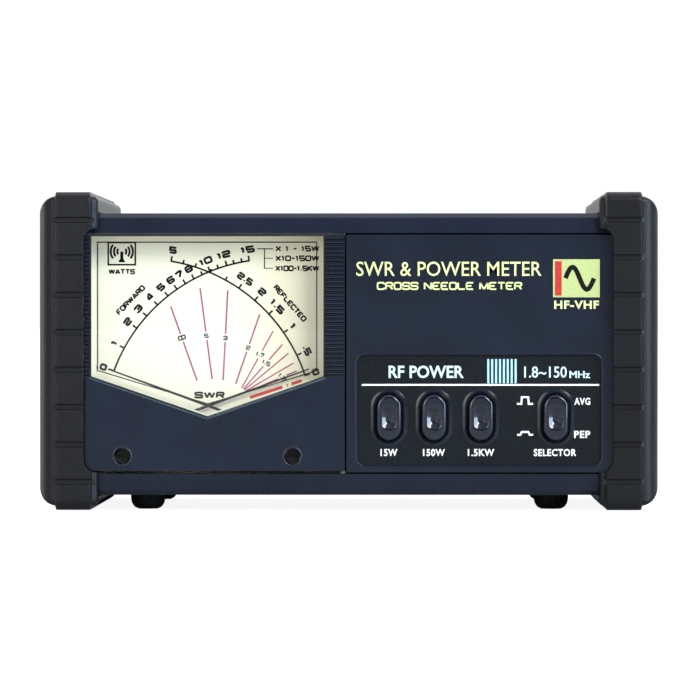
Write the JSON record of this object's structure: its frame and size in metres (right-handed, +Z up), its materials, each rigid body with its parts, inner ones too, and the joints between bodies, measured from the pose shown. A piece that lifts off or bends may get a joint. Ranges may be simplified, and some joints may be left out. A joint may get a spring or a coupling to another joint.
{
  "type": "swr meter",
  "caption": "Bench cross-needle SWR and power meter with a V-edged dial window, push buttons, grooved end guards and coaxial sockets at the back.",
  "frame": {"origin": "on the surface the feet stand on, in the middle of the instrument's width and of its depth with the sockets", "axes": "+X to the right seen from the front, the dial faces -Y, +Z up"},
  "size_m": [0.15, 0.113, 0.0773],
  "materials": {
    "guard_plastic": "fine grained moulding, near black",
    "frame_plastic": "moulded, dark navy",
    "panel_plastic": "smooth moulded, navy black",
    "cabinet_paint": "dark textured paint",
    "foot_rubber": "matt",
    "case_plastic": "white moulding",
    "dial_plate": "ivory paint with printed scales",
    "window_clear": "clear polished",
    "needle_black": "black painted",
    "copper": "enamelled copper wire",
    "brass": "machined",
    "steel": "plain",
    "magnet_iron": "ground",
    "nickel": "nickel plated",
    "white_insulator": "white moulding",
    "button_plastic": "satin dark cap",
    "switch_plastic": "black moulding",
    "circuit_board": "laminate",
    "ferrite": "sintered",
    "black_screw": "black plated"
  },
  "bodies": {
    "cabinet": {"left_guard": "guard_plastic", "right_guard": "guard_plastic", "front_bezel": "frame_plastic", "meter_frame": "frame_plastic", "meter_lower_cover": "frame_plastic", "control_panel": "panel_plastic", "top_cover": "cabinet_paint", "chassis": "cabinet_paint", "rear_panel": "cabinet_paint", "foot_front_left": "foot_rubber", "foot_front_right": "foot_rubber", "foot_rear_left": "foot_rubber", "foot_rear_right": "foot_rubber", "guard_screw_front_left": "black_screw", "guard_screw_rear_left": "black_screw", "guard_screw_front_right": "black_screw", "guard_screw_rear_right": "black_screw", "meter_case": "case_plastic", "scale_plate": "dial_plate", "dial_mask": "case_plastic", "meter_window": "window_clear", "meter_lamp": "window_clear", "range_switch_block": "switch_plastic", "mode_switch_body": "switch_plastic", "control_board": "circuit_board", "sensor_box": "steel", "through_line": "brass", "pickup_toroid": "ferrite", "lamp_supply_jack": "switch_plastic", "tx_socket": "nickel", "antenna_socket": "nickel", "tx_insulator": "white_insulator", "antenna_insulator": "white_insulator", "forward_magnet_yoke": "magnet_iron", "forward_bridge": "brass", "forward_hairspring": "brass", "reflected_magnet_yoke": "magnet_iron", "reflected_bridge": "brass", "reflected_hairspring": "brass", "range_low_spring": "steel", "range_mid_spring": "steel", "range_high_spring": "steel", "mode_spring": "steel"},
    "range_low_button": {"range_low_cap": "button_plastic", "range_low_plunger": "white_insulator"},
    "range_mid_button": {"range_mid_cap": "button_plastic", "range_mid_plunger": "white_insulator"},
    "range_high_button": {"range_high_cap": "button_plastic", "range_high_plunger": "white_insulator"},
    "mode_button": {"mode_cap": "button_plastic", "mode_plunger": "white_insulator"},
    "forward_movement": {"forward_coil": "copper", "forward_needle": "needle_black"},
    "forward_zero_lever": {"forward_zero_arm": "steel"},
    "forward_zero_adjuster": {"forward_zero_screw": "switch_plastic"},
    "reflected_movement": {"reflected_coil": "copper", "reflected_needle": "needle_black"},
    "reflected_zero_lever": {"reflected_zero_arm": "steel"},
    "reflected_zero_adjuster": {"reflected_zero_screw": "switch_plastic"},
    "latch": {"latch_bar": "steel"}
  },
  "joints": [
    {"name": "range_low_press", "type": "slide", "parent": "cabinet", "child": "range_low_button", "axis": [0, 1, 0], "range_m": [0, 0.0025], "stiffness_N_per_m": 300, "springref_m": -0.002, "deforming": ["range_low_spring"]},
    {"name": "range_mid_press", "type": "slide", "parent": "cabinet", "child": "range_mid_button", "axis": [0, 1, 0], "range_m": [0, 0.0025], "stiffness_N_per_m": 300, "springref_m": -0.002, "deforming": ["range_mid_spring"]},
    {"name": "range_high_press", "type": "slide", "parent": "cabinet", "child": "range_high_button", "axis": [0, 1, 0], "range_m": [0, 0.0025], "stiffness_N_per_m": 300, "springref_m": -0.002, "deforming": ["range_high_spring"]},
    {"name": "mode_press", "type": "slide", "parent": "cabinet", "child": "mode_button", "axis": [0, 1, 0], "range_m": [0, 0.0025], "stiffness_N_per_m": 300, "springref_m": -0.002, "deforming": ["mode_spring"]},
    {"name": "forward_deflection", "type": "hinge", "parent": "cabinet", "child": "forward_movement", "pos_m": [-0.01825, -0.047, 0.0196], "axis": [0, 1, 0], "range_deg": [-2, 63], "stiffness_Nm_per_rad": 0.00006, "deforming": ["forward_hairspring"]},
    {"name": "reflected_deflection", "type": "hinge", "parent": "cabinet", "child": "reflected_movement", "pos_m": [-0.05015, -0.047, 0.0196], "axis": [0, -1, 0], "range_deg": [-2, 63], "stiffness_Nm_per_rad": 0.00006, "deforming": ["reflected_hairspring"]},
    {"name": "forward_zero_turn", "type": "hinge", "parent": "cabinet", "child": "forward_zero_adjuster", "pos_m": [-0.0136, -0.0525, 0.0133], "axis": [0, 1, 0], "range_deg": [-30, 30]},
    {"name": "forward_zero_shift", "type": "hinge", "parent": "cabinet", "child": "forward_zero_lever", "pos_m": [-0.01825, -0.0502, 0.0196], "axis": [0, 1, 0], "range_deg": [-3.2, 3.2]},
    {"name": "reflected_zero_turn", "type": "hinge", "parent": "cabinet", "child": "reflected_zero_adjuster", "pos_m": [-0.0548, -0.0525, 0.0133], "axis": [0, 1, 0], "range_deg": [-30, 30]},
    {"name": "reflected_zero_shift", "type": "hinge", "parent": "cabinet", "child": "reflected_zero_lever", "pos_m": [-0.05015, -0.0502, 0.0196], "axis": [0, 1, 0], "range_deg": [-3.2, 3.2]},
    {"name": "latch_slide", "type": "slide", "parent": "cabinet", "child": "latch", "axis": [1, 0, 0], "range_m": [0, 0.0012], "stiffness_N_per_m": 250, "springref_m": -0.002}
  ],
  "couplings": [
    {"joint": "forward_zero_shift", "follows": "forward_zero_turn", "ratio": 0.10309},
    {"joint": "reflected_zero_shift", "follows": "reflected_zero_turn", "ratio": 0.10309}
  ]
}
